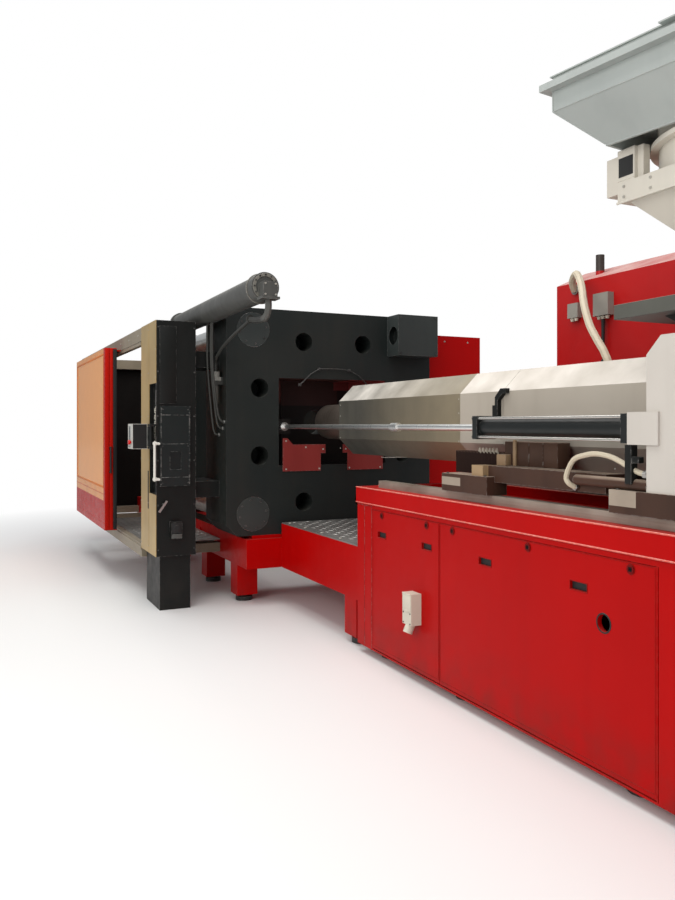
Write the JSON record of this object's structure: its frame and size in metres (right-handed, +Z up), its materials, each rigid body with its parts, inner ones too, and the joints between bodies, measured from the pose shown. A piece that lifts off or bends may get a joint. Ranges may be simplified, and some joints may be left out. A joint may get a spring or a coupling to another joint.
{
  "type": "injection moulding machine",
  "caption": "Large horizontal two-platen injection moulding machine with a sliding amber gate, a long barrel guard on a red base and a square hopper.",
  "frame": {"origin": "middle of the machine's footprint on the floor", "axes": "+X along the machine from the clamp end to the injection end, +Y from the operator side to the rear, +Z up"},
  "size_m": [11.535, 3.775, 3.324],
  "materials": {
    "red_paint": "semi-gloss machine enamel",
    "dark_paint": "satin dark grey machine paint",
    "grey_paint": "satin grey machine paint",
    "beige_paint": "satin beige machine paint",
    "light_paint": "satin pale grey machine paint",
    "brown_paint": "satin dark brown paint",
    "tan_steel": "brushed sheet with a warm reflection",
    "bare_steel": "machined steel",
    "sheet_steel": "bare rolled sheet",
    "hard_chrome": "ground hard chrome",
    "black_paint": "satin black paint",
    "black_plastic": "fine grained black plastic",
    "pale_plastic": "fine grained pale plastic",
    "red_plastic": "glossy red push button",
    "amber_pane": "clear amber tinted pane",
    "hose_rubber": "beige hose cover",
    "hopper_steel": "dull rolled sheet"
  },
  "bodies": {
    "frame": {"clamp_bed": "red_paint", "levelling_feet": "black_paint", "tread_plates": "sheet_steel", "fixed_platen": "dark_paint", "tie_bars": "hard_chrome", "tie_bar_covers": "dark_paint", "traverse_cylinders": "grey_paint", "gate_frame": "beige_paint", "operator_column": "black_paint", "column_facing": "tan_steel", "column_panel": "grey_paint", "connector_strip": "pale_plastic", "column_handle": "pale_plastic", "rear_column": "red_paint", "end_guard": "red_paint", "injection_base": "red_paint", "base_rails": "bare_steel", "carriage_rods": "hard_chrome", "power_cabinet": "red_paint", "hydraulic_hoses": "hose_rubber", "nozzle_guard": "red_paint"},
    "column_latch": {"column_latch": "bare_steel"},
    "cover_left": {"cover_left": "red_paint", "service_socket": "pale_plastic"},
    "cover_middle": {"cover_middle": "red_paint"},
    "latch_1": {"latch_1": "black_plastic"},
    "latch_2": {"latch_2": "black_plastic"},
    "latch_3": {"latch_3": "black_plastic"},
    "latch_4": {"latch_4": "black_plastic"},
    "latch_5": {"latch_5": "black_plastic"},
    "hmi": {"hmi_arm": "black_paint", "hmi_panel": "light_paint"},
    "emergency_button": {"emergency_button": "red_plastic"},
    "moving_platen": {"moving_platen": "dark_paint", "lock_guides": "dark_paint", "traverse_rods": "hard_chrome", "ejector_cylinder": "grey_paint"},
    "lock_near": {"lock_nuts_near": "bare_steel"},
    "lock_far": {"lock_nuts_far": "bare_steel"},
    "ejector": {"ejector_crosshead": "bare_steel"},
    "front_gate": {"front_gate": "red_paint", "front_window": "amber_pane", "gate_handle": "black_plastic"},
    "rear_gate": {"rear_gate": "red_paint", "rear_window": "amber_pane"},
    "carriage": {"carriage_frame": "brown_paint", "barrel": "sheet_steel", "nozzle": "bare_steel", "barrel_guard": "light_paint", "guard_nose": "sheet_steel", "guard_latch": "black_paint", "injection_housing": "light_paint", "carriage_cylinders": "black_paint", "carriage_hose": "hose_rubber", "feed_throat": "beige_paint", "hopper": "hopper_steel"},
    "hopper_lid": {"hopper_lid": "hopper_steel"},
    "drive": {"screw_drive": "light_paint", "screw_motor": "dark_paint"},
    "screw": {"screw": "bare_steel"}
  },
  "joints": [
    {"name": "platen_slide", "type": "slide", "parent": "frame", "child": "moving_platen", "axis": [1, 0, 0], "range_m": [-0.8, 1.2]},
    {"name": "lock_near_slide", "type": "slide", "parent": "moving_platen", "child": "lock_near", "axis": [0, 1, 0], "range_m": [0, 0.07]},
    {"name": "lock_far_slide", "type": "slide", "parent": "moving_platen", "child": "lock_far", "axis": [0, -1, 0], "range_m": [0, 0.07]},
    {"name": "ejector_slide", "type": "slide", "parent": "moving_platen", "child": "ejector", "axis": [1, 0, 0], "range_m": [0, 0.25]},
    {"name": "front_gate_slide", "type": "slide", "parent": "frame", "child": "front_gate", "axis": [1, 0, 0], "range_m": [-0.9, 0.95]},
    {"name": "rear_gate_slide", "type": "slide", "parent": "frame", "child": "rear_gate", "axis": [1, 0, 0], "range_m": [-1.85, 0]},
    {"name": "carriage_slide", "type": "slide", "parent": "frame", "child": "carriage", "axis": [-1, 0, 0], "range_m": [-0.4, 0.25]},
    {"name": "injection_slide", "type": "slide", "parent": "carriage", "child": "drive", "axis": [1, 0, 0], "range_m": [0, 0.5]},
    {"name": "screw_turn", "type": "hinge", "parent": "drive", "child": "screw", "pos_m": [2.1675, 0.0125, 1.7], "axis": [1, 0, 0], "continuous": true},
    {"name": "hopper_lid_hinge", "type": "hinge", "parent": "carriage", "child": "hopper_lid", "pos_m": [3.64453, 0.674, 3.3153], "axis": [-0.9903, -0.1392, 0], "range_deg": [0, 100]},
    {"name": "cover_left_hinge", "type": "hinge", "parent": "frame", "child": "cover_left", "pos_m": [1.5425, -0.57515, 0.08435], "axis": [1, 0, 0], "range_deg": [0, 25]},
    {"name": "cover_middle_hinge", "type": "hinge", "parent": "frame", "child": "cover_middle", "pos_m": [2.83425, -0.57515, 0.08435], "axis": [1, 0, 0], "range_deg": [0, 25]},
    {"name": "latch_1_turn", "type": "hinge", "parent": "cover_left", "child": "latch_1", "pos_m": [1.247, -0.5875, 1.035], "axis": [0, -1, 0], "range_deg": [0, 90]},
    {"name": "latch_2_turn", "type": "hinge", "parent": "cover_left", "child": "latch_2", "pos_m": [1.838, -0.5875, 1.035], "axis": [0, -1, 0], "range_deg": [0, 90]},
    {"name": "latch_3_turn", "type": "hinge", "parent": "cover_middle", "child": "latch_3", "pos_m": [2.1305, -0.5875, 1.035], "axis": [0, -1, 0], "range_deg": [0, 90]},
    {"name": "latch_4_turn", "type": "hinge", "parent": "cover_middle", "child": "latch_4", "pos_m": [2.83425, -0.5875, 1.035], "axis": [0, -1, 0], "range_deg": [0, 90]},
    {"name": "latch_5_turn", "type": "hinge", "parent": "cover_middle", "child": "latch_5", "pos_m": [3.538, -0.5875, 1.035], "axis": [0, -1, 0], "range_deg": [0, 90]},
    {"name": "hmi_swivel", "type": "hinge", "parent": "frame", "child": "hmi", "pos_m": [-1.0575, -1.6995, 1.555], "axis": [0, 0, 1], "range_deg": [0, 90]},
    {"name": "emergency_press", "type": "slide", "parent": "hmi", "child": "emergency_button", "axis": [0, 1, 0], "range_m": [0, 0.008], "stiffness_N_per_m": 1500},
    {"name": "column_latch_turn", "type": "hinge", "parent": "frame", "child": "column_latch", "pos_m": [-0.9425, -1.6075, 0.96], "axis": [1, 0, 0], "range_deg": [0, 90]}
  ],
  "couplings": [
    {"joint": "lock_far_slide", "follows": "lock_near_slide", "ratio": 1}
  ]
}
